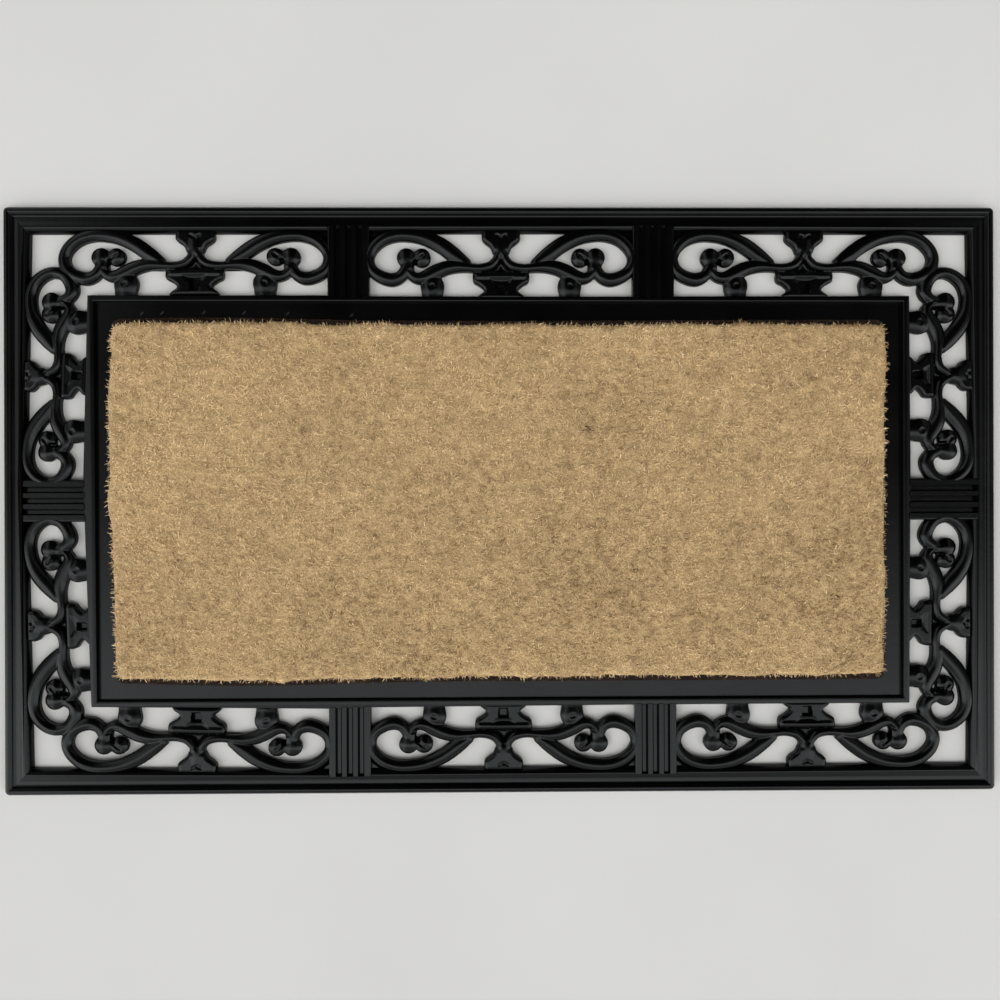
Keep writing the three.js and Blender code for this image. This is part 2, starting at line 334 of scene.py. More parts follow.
def combined(fields, x, y):
    """Distance to the union's edge and its height at points x, y, with every meeting blended."""
    far = 40.0
    edge, height = np.full(x.shape, far), np.full(x.shape, -far)
    margin = 10.0
    for field, low, high in fields:
        near = (x > low[0] - margin) & (x < high[0] + margin)
        near &= (y > low[1] - margin) & (y < high[1] + margin)
        own_edge, own_height = field(x[near], y[near])
        edge[near] = smooth_min(edge[near], own_edge, EDGE_BLEND)
        height[near] = smooth_max(height[near], own_height, CROWN_BLEND)
    return edge, height


def rectangle_distance(x, y, low, high):
    return np.maximum.reduce([low[0] - x, x - high[0], low[1] - y, y - high[1]])


def long_side_place(centre, way, stretch):
    """Turns rows that start with u, v into rows that start with x, y, on the far long side."""
    def place(rows):
        placed = np.array(rows, float)
        placed[:, 0] = centre + way * stretch * placed[:, 0]
        placed[:, 1] += TRAY_HALF[1]
        return placed

    return place


def short_side_place(centre, way, stretch):
    squash = STRIP_WIDTH[0] / STRIP_WIDTH[1]

    def place(rows):
        rows = np.array(rows, float)
        placed = rows.copy()
        placed[:, 0] = TRAY_HALF[0] + squash * rows[:, 1]
        placed[:, 1] = centre + way * stretch * rows[:, 0]
        return placed

    return place


def mirrored(half):
    """An outline given for the right of the centre line, completed by its mirror image."""
    half = np.asarray(half, float)
    return np.vstack([half, half[::-1] * [-1, 1]])


def panel(put, centre, corner_way, stretch):
    """The fields and carvings of a whole panel; its half that ends at a corner is a bit shorter."""
    fields, carvings = [], []
    for way in (-1, 1):
        at_corner = way == corner_way
        place = put(centre, way, stretch * CORNER_STRETCH if at_corner else stretch)
        fields += [rib_field(place(smooth_path(rib))) for rib in (LOOP_RIB, S_RIB, KNOB_FOOT)]
        fields += [dome_field(place([dome])[0][:2], dome[2], dome[3]) for dome in DOMES]
        carvings += [groove(place([start, end]), radius, depth) for start, end, radius, depth in GROOVES]
        if not at_corner:
            fields.append(plateau_field(place(BAND_WEB[1]), *BAND_WEB[0]))
    place = put(centre, 1, stretch)
    fields += [rib_field(place(smooth_path(rib))) for rib in (STEM_RIB, PEDESTAL_BAR)]
    fields += [plateau_field(place(mirrored(smooth_path(half))), *size) for size, half in (CAP, PEDESTAL)]
    fields.append(plateau_field(place(mirrored(TRIANGLE_WEB[1])), *TRIANGLE_WEB[0]))
    carvings += [hollow(place(mirrored(half)), *size) for size, half in (RECESS, DISH)]
    return fields, carvings


def snapped_grid(edge_at, low, high):
    """A grid over a box whose points near an edge are moved onto it: x, y, edge distance, cells."""
    xs = np.arange(low[0], high[0] + FRET_CELL, FRET_CELL)
    ys = np.arange(low[1], high[1] + FRET_CELL, FRET_CELL)
    x, y = (axis.ravel() for axis in np.meshgrid(xs, ys))
    edge = edge_at(x, y)
    table = edge.reshape(len(ys), len(xs))
    slope_y, slope_x = (slope.ravel() for slope in np.gradient(table, FRET_CELL))
    steepness = np.maximum(slope_x ** 2 + slope_y ** 2, LEAST_STEEPNESS)
    near = np.abs(edge) < SNAP_REACH
    x = np.where(near, x - edge * slope_x / steepness, x)
    y = np.where(near, y - edge * slope_y / steepness, y)
    return x, y, np.where(near, 0, edge), grid_faces(len(ys), len(xs))


def clipped_cells(x, y, edge, cells):
    """The part of a grid where the edge distance is below zero, as points in plan and faces."""
    inside = edge[cells] <= 0
    faces = cells[inside.all(1)].tolist()
    crossings, crossing_index = [], {}

    def crossing(a, b):
        key = (min(a, b), max(a, b))
        if key not in crossing_index:
            share = edge[a] / (edge[a] - edge[b])
            crossing_index[key] = len(x) + len(crossings)
            crossings.append([x[a] + share * (x[b] - x[a]), y[a] + share * (y[b] - y[a])])
        return crossing_index[key]

    for cell in cells[inside.any(1) & ~inside.all(1)].tolist():
        outline = []
        for a, b in zip(cell, cell[1:] + cell[:1]):
            if edge[a] <= 0:
                outline.append(a)
            if (edge[a] < 0 < edge[b]) or (edge[b] < 0 < edge[a]):
                outline.append(crossing(a, b))
        if len(outline) >= 3:
            faces.append(outline)
    plan = np.vstack([np.column_stack([x, y]), np.array(crossings).reshape(-1, 2)])
    return plan, faces


def without_unused(plan, faces):
    """Leaves out the points that no face uses."""
    used = np.unique(np.concatenate([np.array(face) for face in faces]))
    renumber = np.full(len(plan), -1)
    renumber[used] = np.arange(len(used))
    return plan[used], [renumber[face].tolist() for face in faces]


def fret_mesh(fields, carvings, regions):
    """The scrollwork inside the regions, as points, faces and the edges of its open underside."""
    low = np.min([region[0] for region in regions], axis=0) - FRET_CELL
    high = np.max([region[1] for region in regions], axis=0) + FRET_CELL

    def edge_at(x, y):
        region = np.minimum.reduce([rectangle_distance(x, y, *r) for r in regions])
        return np.maximum(combined(fields, x, y)[0], region)

    plan, faces = without_unused(*clipped_cells(*snapped_grid(edge_at, low, high)))
    height = combined(fields, plan[:, 0], plan[:, 1])[1]
    for carve in carvings:
        height -= carve(plan[:, 0], plan[:, 1])
    height = np.maximum(height, FRET_BOTTOM + FRET_LEAST_THICKNESS)
    return close_below(plan, height, faces)


def close_below(plan, height, faces):
    """Adds walls below a top surface. Also gives the edges that the flat underside will span."""
    directed = {(a, b) for face in faces for a, b in zip(face, face[1:] + face[:1])}
    border = [(a, b) for a, b in directed if (b, a) not in directed]
    rim = sorted({a for a, _ in border})
    lower = {v: len(plan) + i for i, v in enumerate(rim)}
    points = np.vstack([
        np.column_stack([plan, height]),
        np.column_stack([plan[rim], np.full(len(rim), FRET_BOTTOM)]),
    ])
    walls = [[b, a, lower[a], lower[b]] for a, b in border]
    underside = [[lower[b], lower[a]] for a, b in border]
    return points, faces + walls, underside


def fret_piece(name, fields, carvings, regions, material, mirrors):
    """One tile of scrollwork and its mirror images, each an object of its own."""
    points, faces, underside = fret_mesh(fields, carvings, regions)
    pieces = []
    for suffix, (sx, sy) in mirrors.items():
        flipped = sx * sy < 0
        placed = points * np.array([sx, sy, 1])
        piece = mesh_object(f"{name}_{suffix}", placed, faces, [material])
        build = bmesh.new()
        build.from_mesh(piece.data)
        build.verts.ensure_lookup_table()
        edges = [build.edges.get([build.verts[a], build.verts[b]]) for a, b in underside]
        bmesh.ops.triangle_fill(build, edges=edges, normal=(0, 0, 1 if flipped else -1))
        bmesh.ops.recalc_face_normals(build, faces=build.faces)
        build.to_mesh(piece.data)
        build.free()
        shade_smooth(piece.data, FRET_CREASE)
        pieces.append(piece)
    return pieces


def corner_frets(material):
    """The last panel of a long side with the neighbouring panel of the short side."""
    top_fields, top_carvings = panel(long_side_place, PANEL_PITCH, 1, 1)
    side_fields, side_carvings = panel(short_side_place, SIDE_PANEL_OFFSET, 1, SHORT_SIDE_STRETCH)
    inner_edge = MAT_HALF - RAIL_WIDTH + FRET_OVERLAP
    above = (np.array([PANEL_PITCH / 2 + BAND_HALF, TRAY_HALF[1]]) - FRET_OVERLAP, inner_edge)
    beside = (np.array([TRAY_HALF[0], BAND_HALF]) - FRET_OVERLAP, inner_edge)
    mirrors = {"right_back": (1, 1), "left_back": (-1, 1), "left_front": (-1, -1), "right_front": (1, -1)}
    fields, carvings = top_fields + side_fields, top_carvings + side_carvings
    return fret_piece("scroll_corner", fields, carvings, [above, beside], material, mirrors)


def middle_frets(material):
    """The middle panel of a long side."""
    fields, carvings = panel(long_side_place, 0, 0, 1)
    reach = PANEL_PITCH / 2 - BAND_HALF + FRET_OVERLAP
    region = (
        np.array([-reach, TRAY_HALF[1] - FRET_OVERLAP]),
        np.array([reach, MAT_HALF[1] - RAIL_WIDTH + FRET_OVERLAP]),
    )
    mirrors = {"back": (1, 1), "front": (1, -1)}
    return fret_piece("scroll_middle", fields, carvings, [region], material, mirrors)


# --- Frame of the surround: rail, tray, studs and reeded bands ----------------------------------

def rings_mesh(half, profile, radius, closed):
    """A moulding round a rectangle from a profile of [inset, height], closed or capped at its ends."""
    least_radius = 0.25
    rings = []
    for inset, height in profile:
        outline = rounded_rectangle(half - inset, max(radius - inset, least_radius))
        rings.append(np.column_stack([outline, np.full(len(outline), height)]))
    count = len(rings[0])
    points = np.vstack(rings)
    faces = grid_faces(len(rings), count, wrap=True)[:, ::-1].tolist()
    last = (len(rings) - 1) * count
    if closed:
        for i in range(count):
            j = (i + 1) % count
            faces.append([last + i, i, j, last + j][::-1])
    else:
        faces.append(list(range(count)))
        faces.append([last + i for i in range(count)][::-1])
    return points, faces


def solid(name, points, faces):
    """A plain closed object for a boolean, with its faces turned outward."""
    piece = mesh_object(name, points, faces, [])
    build = bmesh.new()
    build.from_mesh(piece.data)
    bmesh.ops.recalc_face_normals(build, faces=build.faces)
    build.to_mesh(piece.data)
    build.free()
    return piece


def boolean(target, operation, tools):
    """Joins or cuts the target with the tools, which are used up."""
    for tool in tools:
        modifier = target.modifiers.new("cut", "BOOLEAN")
        modifier.operation = operation
        modifier.solver = "MANIFOLD"
        modifier.object = tool
    bpy.context.view_layer.objects.active = target
    for modifier in list(target.modifiers):
        bpy.ops.object.modifier_apply(modifier=modifier.name)
    for tool in tools:
        bpy.data.objects.remove(tool)
    return target


def rail_solid():
    """The outer rail: a closed ring with its bead, groove and lip."""
    profile = [[RAIL_WIDTH, 0], [0, 0], *RAIL_PROFILE]
    return solid("rail", *rings_mesh(MAT_HALF, profile, MAT_CORNER_RADIUS, closed=True))


def tray_solid():
    """The tray: its raised rim, its floor and the foot ring under its edge."""
    foot, corner_radius = TRAY_FOOT_WIDTH, 1
    profile = [[foot, TRAY_FLOOR_BOTTOM], [foot, 0], [0, 0], *TRAY_PROFILE]
    return solid("tray", *rings_mesh(TRAY_HALF, profile, corner_radius, closed=False))


def extrusion(section, start, end, turned, centre):
    """A solid with that section of [across, height], run straight outward from start to end."""
    section = np.array(section, float)
    points = []
    for outward in (start, end):
        for across, height in section:
            plan = [outward, centre + across] if turned else [centre + across, outward]
            points.append([*plan, height])
    count = len(section)
    faces = [[i, (i + 1) % count, count + (i + 1) % count, count + i] for i in range(count)]
    faces.append(list(range(count)))
    faces.append([count + i for i in range(count)][::-1])
    return np.array(points), faces


def reed_section():
    """Four flat-topped reeds with hollows between them, on a plate; the outer two end the plate."""
    wave_foot = 0.22
    wave_flank = 0.42
    edge_steepness = 0.96
    across = np.linspace(-BAND_HALF, BAND_HALF, 129)
    wave = 0.5 + 0.5 * np.cos(2 * math.pi * (across / REED_PITCH - 0.5))
    rise = np.clip((wave - wave_foot) / wave_flank, 0, 1)
    outer_middle = 1.5 * REED_PITCH
    rise = np.where(np.abs(across) > outer_middle, 1, rise)
    edge = np.clip((np.abs(across) - BAND_HALF + BAND_EDGE_ROUND) / BAND_EDGE_ROUND, 0, 1)
    rounding = BAND_EDGE_ROUND * (1 - np.sqrt(1 - edge_steepness * edge ** 2))
    top = REED_FOOT + REED_RISE * ease(rise) - rounding
    return [[BAND_HALF, 0], [-BAND_HALF, 0], *np.column_stack([across, top])]


def band_places():
    """Each band's place along its side, which side it is on, and whether that is a short side."""
    places = []
    for side in (-1, 1):
        for way in (-1, 1):
            places.append((way * PANEL_PITCH / 2, side, False))
        places.append((0, side, True))
    return places


def band_solids():
    """The notches cut into the rail's lip and the reeded plates that fill them."""
    low, high = REED_FOOT - 0.4, 12
    notch = [[BAND_HALF, low], [-BAND_HALF, low], [-BAND_HALF, high], [BAND_HALF, high]]
    notch_setback = 8
    notches, plates = [], []
    for centre, side, turned in band_places():
        axis = 0 if turned else 1
        start = TRAY_HALF[axis] - BAND_OVERLAP
        crown = side * (MAT_HALF[axis] - LIP_CROWN_INSET)
        cut = extrusion(notch, side * (start + notch_setback), crown, turned, centre)
        notches.append(solid("notch", *cut))
        plates.append(solid("plate", *extrusion(reed_section(), side * start, crown, turned, centre)))
    return notches, plates


def stud_solids():
    """Round grip studs with softened rims under the tray's floor."""
    radius, pitch, sides = 4, 48, 20
    sunk_in = 0.3
    softening = 0.4
    profile = [[radius, TRAY_FLOOR_BOTTOM + sunk_in], [radius, softening], [radius - softening, 0]]
    angles = np.linspace(0, 2 * math.pi, sides, endpoint=False)
    reach = (TRAY_HALF - TRAY_FOOT_WIDTH - 2 * radius) // pitch
    points, faces = [], []
    for column in np.arange(-reach[0], reach[0] + 1):
        for row in np.arange(-reach[1], reach[1] + 1):
            first = len(points) * sides
            for ring_radius, height in profile:
                x = column * pitch + ring_radius * np.cos(angles)
                y = row * pitch + ring_radius * np.sin(angles)
                points.append(np.column_stack([x, y, np.full(sides, height)]))
            last = first + (len(profile) - 1) * sides
            faces += (grid_faces(len(profile), sides, wrap=True) + first).tolist()
            faces.append([first + i for i in range(sides)])
            faces.append([last + i for i in range(sides)][::-1])
    return solid("studs", np.vstack(points), faces)


def nib_solids():
    """The short slanting stubs that the mould's air vents leave on the tray's floor."""
    nibs = []
    along = np.array([math.cos(NIB_TURN), math.sin(NIB_TURN)]) * NIB_LENGTH / 2
    side = np.array([math.sin(NIB_TURN), -math.cos(NIB_TURN)]) * NIB_WIDTH / 2
    for x in NIB_PLACES:
        middle = np.array([x, NIB_ROW])
        foot = [middle + offset for offset in (-along - side, -along + side, along + side, along - side)]
        top = [middle + NIB_TAPER * (p - middle) for p in foot]
        points = [[*p, TRAY_FLOOR_TOP - 1] for p in foot]
        points += [[*p, TRAY_FLOOR_TOP + NIB_HEIGHT + NIB_SLOPE * (p[1] - NIB_ROW)] for p in top]
        nibs.append(solid("nib", points, BOX_FACES))
    return nibs


def surround_frame(material):
    """The rail, tray, studs, bands and stubs, joined into one closed piece."""
    notches, plates = band_solids()
    body = rail_solid()
    boolean(body, "DIFFERENCE", notches)
    boolean(body, "UNION", [tray_solid(), stud_solids(), *plates, *nib_solids()])
    body.name = body.data.name = "rail_and_tray"
    body.data.materials.clear()
    body.data.materials.append(material)
    shade_smooth(body.data, FRAME_CREASE)
    return body


# --- Coir insert --------------------------------------------------------------------------------

PILE_INSET = np.array([2.0, 3.8])
PILE_BODY_TOP = PILE_TOP - 2.2
PILE_BODY_CELL = 1.7
PILE_EDGE_ROUND = 4.0
PILE_EDGE_STEEPNESS = 0.97
# Bumps of the pile's body: [height, cell, seed, shift along x] of each layer of noise.
PILE_BUMPS = [[0.30, 21, 1, 0], [0.40, 6.3, 2, 0], [0.40, 2.7, 3, 40]]
# How the cut edge wanders: [cell, seed] of each layer of noise, and how far in it reaches.
RAGGED_LAYERS = [[8, 5], [27, 6]]
RAGGED_DEPTH = 0.9
RAGGED_DRAW_IN = 0.5
RAGGED_REACH = 6

STRANDS = 72000
STRANDS_PER_PIECE = 12000
STRAND_LENGTH = 4.0, 7.5
STRAND_RADIUS = 0.17
STRAND_RADIUS_SPREAD = 0.22
STRAND_SINK = 1.6
STRAND_OVERTOP = 0.9
STRAND_TOP_SPREAD = 1.8
STRAND_TOP_STEP = 0.15
STRAND_TAPER = [0.8, 1.0, 0.85]
STRAND_SIDES = 3
TUFT_CELL = 9
TUFT_SEED = 11
# Degrees: mean and spread of a strand's lean, its limits, and the spreads of its bend and curl.
LEAN, LEAN_SPREAD = 50, 20
LEAN_LIMITS = 4, 82
BEND_SPREAD = 14
CURL_SPREAD = 24
# Radians: how far a tuft's way swings, how its strands scatter, and how they droop to their tips.
TUFT_SWIRL = 2.2 * math.pi
WAY_SPREAD = 1.1
OUTWARD_SPREAD = 0.9
DROOP = 0.12
FLATTEST = 1.5
# The cut edge: how far in it counts, and how it shortens, sinks and turns the strands there.
ROOT_MARGIN = 0.2
EDGE_REACH = 2.5
EDGE_SHORTENING = 0.45
EDGE_SINK = 0.6
OUTWARD_SHARE = 0.6
OUTWARD_LEAN = 0.6

# Which shade a strand has: a middle one, changed by noise of [strength, cell, seed].
FIBRE_SHADES = 8
HUSK = FIBRE_SHADES
MIDDLE_TONE = 4.5
TONE_LAYERS = [[1.3, 70, 8], [1.1, 20, 10], [1.9, 5, 9]]
TONE_SPREAD = 2.0
# Painted shade: strands are drawn darker towards the right, where less light falls, and in a band along the
# back edge, where the near side's light doesn't reach.
PAINTED_SHADE_RIGHT = 0.8
PAINTED_SHADE_BACK = 2.4
PAINTED_SHADE_BACK_REACH = 9
# Dark husk specks in the pile: [x, y, radius].
SPECKS = [[66, 54.5, 3], [254, -73.5, 3.3], [-57, -4, 1.5], [142, 8, 1.3], [-205, 62, 1.5], [-268, 124, 2.6]]


def distance_inside(x, y, half):
    """Distance of points inside a rectangle from its nearest side."""
    return np.minimum(half[0] - np.abs(x), half[1] - np.abs(y))


def square_to_round_corner(x, y, half, radius):
    """Moves the points of a rectangle's corner squares so that its corners become round."""
    ax, ay = np.abs(x) - (half[0] - radius), np.abs(y) - (half[1] - radius)
    corner = (ax > 0) & (ay > 0)
    u, v = np.where(corner, ax / radius, 0), np.where(corner, ay / radius, 0)
    ru, rv = u * np.sqrt(1 - v * v / 2), v * np.sqrt(1 - u * u / 2)
    x = np.where(corner, np.sign(x) * (half[0] - radius + radius * ru), x)
    y = np.where(corner, np.sign(y) * (half[1] - radius + radius * rv), y)
    return x, y


def slab(half, radius, step, bottom, top_height):
    """A closed slab on a rounded rectangle, gridded at that step, with its top at
    top_height(x, y, distance_in)."""
    columns = round(2 * half[0] / step) + 1
    rows = round(2 * half[1] / step) + 1
    gx, gy = np.meshgrid(np.linspace(-half[0], half[0], columns), np.linspace(-half[1], half[1], rows))
    distance_in = distance_inside(gx, gy, half).ravel()
    x, y = square_to_round_corner(gx.ravel(), gy.ravel(), half, radius)
    top = np.column_stack([x, y, top_height(x, y, distance_in)])
    index = np.arange(rows * columns).reshape(rows, columns)
    border = np.concatenate([index[0, :-1], index[:-1, -1], index[-1, :0:-1], index[:0:-1, 0]])
    foot = top[border].copy()
    foot[:, 2] = bottom
    first, count = len(top), len(border)
    faces = grid_faces(rows, columns).tolist()
    for i in range(count):
        j = (i + 1) % count
        faces.append([border[j], border[i], first + i, first + j])
    faces.append([first + i for i in range(count)][::-1])
    return np.vstack([top, foot]), faces


def pile_height(x, y, distance_in):
    """The pile's bumpy top, rounded over at its edge."""
    share = np.clip(1 - distance_in / PILE_EDGE_ROUND, 0, 1)
    rounded = PILE_EDGE_ROUND * (1 - np.sqrt(1 - (PILE_EDGE_STEEPNESS * share) ** 2))
    layers = [height * lattice_noise(x + shift, y, cell, seed) for height, cell, seed, shift in PILE_BUMPS]
    return PILE_BODY_TOP - rounded + sum(layers)


def ragged(x, y, half):
    """Draws points near the insert's cut edge in and out by a millimetre or two."""
    wander = sum(RAGGED_DEPTH * lattice_noise(x, y, cell, seed) for cell, seed in RAGGED_LAYERS)
    fade = np.exp(-np.clip(distance_inside(x, y, half), 0, None) / RAGGED_REACH)
    amount = (wander - RAGGED_DRAW_IN) * fade
    return x * (1 + amount / half[0]), y * (1 + amount / half[1])


def pile_body(material):
    """The crowded body of the pile, which the strands stand in."""
    half = INSERT_HALF - PILE_INSET
    points, faces = slab(half, INSERT_CORNER_RADIUS, PILE_BODY_CELL, BACKING_TOP, pile_height)
    points[:, 0], points[:, 1] = ragged(points[:, 0], points[:, 1], half)
    return mesh_object("coir_pile_body", points, faces, [material])


def strand_leans(x, y, half, near_edge):
    """Which way each strand leans and how far. Near the cut edge many of them lean outward."""
    count = len(x)
    nearer_end = half[0] - np.abs(x) < half[1] - np.abs(y)
    outward = np.where(nearer_end, np.where(x > 0, 0, math.pi), np.sign(y) * math.pi / 2)
    turned = rng.uniform(0, 1, count) < near_edge * OUTWARD_SHARE
    way = TUFT_SWIRL * lattice_noise(x, y, TUFT_CELL, TUFT_SEED) + rng.normal(0, WAY_SPREAD, count)
    way = np.where(turned, outward + rng.normal(0, OUTWARD_SPREAD, count), way)
    lean = np.radians(np.clip(rng.normal(LEAN, LEAN_SPREAD, count), *LEAN_LIMITS))
    return way, np.where(turned, lean * OUTWARD_LEAN, lean)


def strand_paths(count):
    """Four points along each bent strand of coir, from its root in the pile to its tip."""
    half = INSERT_HALF - PILE_INSET + ROOT_MARGIN
    root = rng.uniform(-1, 1, (count, 2)) * half
    x, y = square_to_round_corner(root[:, 0], root[:, 1], half, INSERT_CORNER_RADIUS)
    inward = distance_inside(x, y, half)
    near_edge = np.exp(-np.clip(inward, 0, None) / EDGE_REACH)
    way, lean = strand_leans(x, y, half, near_edge)
    length = rng.uniform(*STRAND_LENGTH, count) * (1 - EDGE_SHORTENING * near_edge)
    foot = pile_height(x, y, inward) - STRAND_SINK - EDGE_SINK * near_edge
    points = [np.column_stack([*ragged(x, y, half), foot])]
    bend = np.radians(rng.normal(0, BEND_SPREAD, count))
    curl = np.radians(rng.normal(0, CURL_SPREAD, count))
    for step in range(3):
        angle = np.clip(lean + (step - 1) * np.abs(bend) + DROOP * step, 0, FLATTEST)
        heading = way + (step - 1) * curl
        move = np.column_stack([
            np.sin(angle) * np.cos(heading), np.sin(angle) * np.sin(heading), np.cos(angle),
        ])
        points.append(points[-1] + move * (length / 3)[:, None])
    paths = np.stack(points, axis=1)
    ceiling = PILE_TOP + STRAND_OVERTOP - rng.uniform(0, STRAND_TOP_SPREAD, count)
    highest = ceiling[:, None] - STRAND_TOP_STEP * np.arange(3, -1, -1)
    paths[:, :, 2] = np.minimum(paths[:, :, 2], highest)
    return paths


def strand_shades(x, y):
    """Which shade each strand has: mixed everywhere, browner here and there, darker towards the right and
    along the back edge as painted shade, and husk in the specks.
    """
    tone = np.full(len(x), MIDDLE_TONE)
    for strength, cell, seed in TONE_LAYERS:
        tone += strength * lattice_noise(x, y, cell, seed)
    # Painted shade: darker towards the right and along the back edge.
    back = np.exp((y - INSERT_HALF[1]) / PAINTED_SHADE_BACK_REACH)
    tone -= PAINTED_SHADE_RIGHT * x / INSERT_HALF[0] + PAINTED_SHADE_BACK * back
    shade = np.clip(rng.normal(tone, TONE_SPREAD), 0, FIBRE_SHADES - 1)
    for speck_x, speck_y, radius in SPECKS:
        shade = np.where(np.hypot(x - speck_x, y - speck_y) < radius, HUSK, shade)
    return np.rint(shade).astype(int)


def strand_mesh(paths, radius):
    """Closed three-sided strands that taper to a point: points, triangles, and how many each has."""
    count, sides = len(paths), STRAND_SIDES
    direction = paths[:, -1] - paths[:, 0]
    direction /= np.linalg.norm(direction, axis=1, keepdims=True)
    side = np.cross(direction, rng.normal(0, 1, (count, 3)))
    side /= np.linalg.norm(side, axis=1, keepdims=True)
    other = np.cross(direction, side)
    columns = []
    for level, share in enumerate(STRAND_TAPER):
        for corner in range(sides):
            angle = corner * 2 * math.pi / sides
            offset = math.cos(angle) * side + math.sin(angle) * other
            columns.append(paths[:, level] + offset * (radius * share)[:, None])
    columns.append(paths[:, -1])
    points = np.stack(columns, axis=1).reshape(-1, 3)
    faces = [[0, 2, 1]]
    for level in range(len(STRAND_TAPER) - 1):
        for corner in range(sides):
            a, b = sides * level + corner, sides * level + (corner + 1) % sides
            faces += [[a, b, b + sides], [a, b + sides, a + sides]]
    last = sides * (len(STRAND_TAPER) - 1)
    tip = last + sides
    faces += [[last + corner, last + (corner + 1) % sides, tip] for corner in range(sides)]
    first = np.arange(count)[:, None, None] * (tip + 1)
    return points, (np.array(faces)[None] + first).reshape(-1, 3), len(faces)


def strand_pieces(materials):
    """The strands, from left to right in pieces of equal number, each strand in one shade."""
    paths = strand_paths(STRANDS)
    paths = paths[np.argsort(paths[:, 0, 0], kind="stable")]
    radius = STRAND_RADIUS + STRAND_RADIUS_SPREAD * rng.uniform(0, 1, STRANDS) ** 2
    shade = strand_shades(paths[:, 2, 0], paths[:, 2, 1])
    pieces = []
    for number, start in enumerate(range(0, STRANDS, STRANDS_PER_PIECE)):
        chosen = slice(start, start + STRANDS_PER_PIECE)
        points, faces, each = strand_mesh(paths[chosen], radius[chosen])
        piece = mesh_object(f"coir_strands_{number + 1}", points, faces, materials)
        piece.data.polygons.foreach_set("material_index", np.repeat(shade[chosen], each))
        piece.data.update()
        pieces.append(piece)
    return pieces


def backing_piece(material):
    """The flat backing sheet, with a slightly softened and uneven cut edge."""
    softening, softening_reach = 0.25, 0.4
    cut_depth, edge_width = 0.25, 0.5

    def top(x, y, distance_in):
        return BACKING_TOP - softening * np.exp(-distance_in / softening_reach)

    points, faces = slab(INSERT_HALF, INSERT_CORNER_RADIUS, 5, BACKING_BOTTOM, top)
    x, y = points[:, 0], points[:, 1]
    cut = cut_depth * np.abs(lattice_noise(x, y, cell=4, seed=21))
    at_edge = distance_inside(x, y, INSERT_HALF) < edge_width
    points[:, :2] *= 1 - (cut * at_edge)[:, None] / INSERT_HALF
    return mesh_object("coir_backing_sheet", points, faces, [material], BACKING_CREASE)


def adhesive_piece(material):
    """A thin film of glue, combed into ridges, with a wandering edge."""
    low, high = box_mm("adhesive_bond")
    half = high[:2]
    ridge_pitch, ridge_height, ridge_sway = 7, 0.1, 3
    edge_drop, edge_reach, edge_wander = 0.25, 1.5, 1.2
    middle = high[2] - 0.12

    def top(x, y, distance_in):
        swayed = x + ridge_sway * lattice_noise(x, y, cell=60, seed=31)
        combed = np.cos(2 * math.pi * swayed / ridge_pitch)
        film = middle + ridge_height * combed
        return film - edge_drop * np.exp(-distance_in / edge_reach)

    points, faces = slab(half, INSERT_CORNER_RADIUS, 1.75, low[2], top)
    wander = edge_wander * np.abs(lattice_noise(points[:, 0], points[:, 1], cell=13, seed=32))
    points[:, :2] *= 1 - wander[:, None] / half
    return mesh_object("adhesive_film", points, faces, [material])


# --- Materials ----------------------------------------------------------------------------------

class Nodes:
    """A short way to build a node tree."""

    def __init__(self, tree):
        self.tree = tree

    @classmethod
    def material(cls, name):
        material = bpy.data.materials.new(name)
        material.use_nodes = True
        nodes = cls(material.node_tree)
        nodes.made = material
        return nodes

    def feed(self, node, inputs):
        """Links or sets each input of a node, by its name or number."""
        for key, value in inputs.items():
            if isinstance(value, bpy.types.NodeSocket):
                self.tree.links.new(value, node.inputs[key])
            else:
                node.inputs[key].default_value = value

    def add(self, kind, inputs=None, **settings):
        node = self.tree.nodes.new(kind)
        for key, value in settings.items():
            setattr(node, key, value)
        self.feed(node, inputs or {})
        return node

    def noise(self, scale, detail, roughness=0.55):
        place = self.add("ShaderNodeTexCoord").outputs["Object"]
        inputs = {"Vector": place, "Scale": scale, "Detail": detail, "Roughness": roughness}
        return self.add("ShaderNodeTexNoise", inputs).outputs["Fac"]

    def ramp(self, factor, stops):
        """A colour ramp from stops of (position, (red, green, blue))."""
        node = self.add("ShaderNodeValToRGB", {"Fac": factor})
        elements = node.color_ramp.elements
        while len(elements) < len(stops):
            elements.new(0.5)
        for element, (position, colour) in zip(elements, stops):
            element.position = position
            element.color = (*colour, 1)
        return node.outputs["Color"]

    def map_range(self, value, low, high, to_low, to_high, smooth=False):
        inputs = {"Value": value, "From Min": low, "From Max": high, "To Min": to_low, "To Max": to_high}
        kind = "SMOOTHSTEP" if smooth else "LINEAR"
        return self.add("ShaderNodeMapRange", inputs, interpolation_type=kind).outputs["Result"]

    def mix(self, factor, first, second, blend="MIX"):
        """Two colours mixed, by the numbers of the sockets that the node keeps for colours."""
        inputs = {0: factor, 6: first, 7: second}
        return self.add("ShaderNodeMix", inputs, data_type="RGBA", blend_type=blend).outputs[2]

    def bump(self, height, strength, distance, normal=None):
        inputs = {"Height": height, "Strength": strength, "Distance": distance}
        if normal is not None:
            inputs["Normal"] = normal
        return self.add("ShaderNodeBump", inputs).outputs["Normal"]

    def surface(self, **inputs):
        """Sets the shader's inputs, with _ for each space in a name, and gives the material."""
        shader = self.tree.nodes["Principled BSDF"]
        self.feed(shader, {key.replace("_", " "): value for key, value in inputs.items()})
        return self.made


def grey(value):
    """A grey with a trace of blue."""
    return (value, value, value * 1.08)


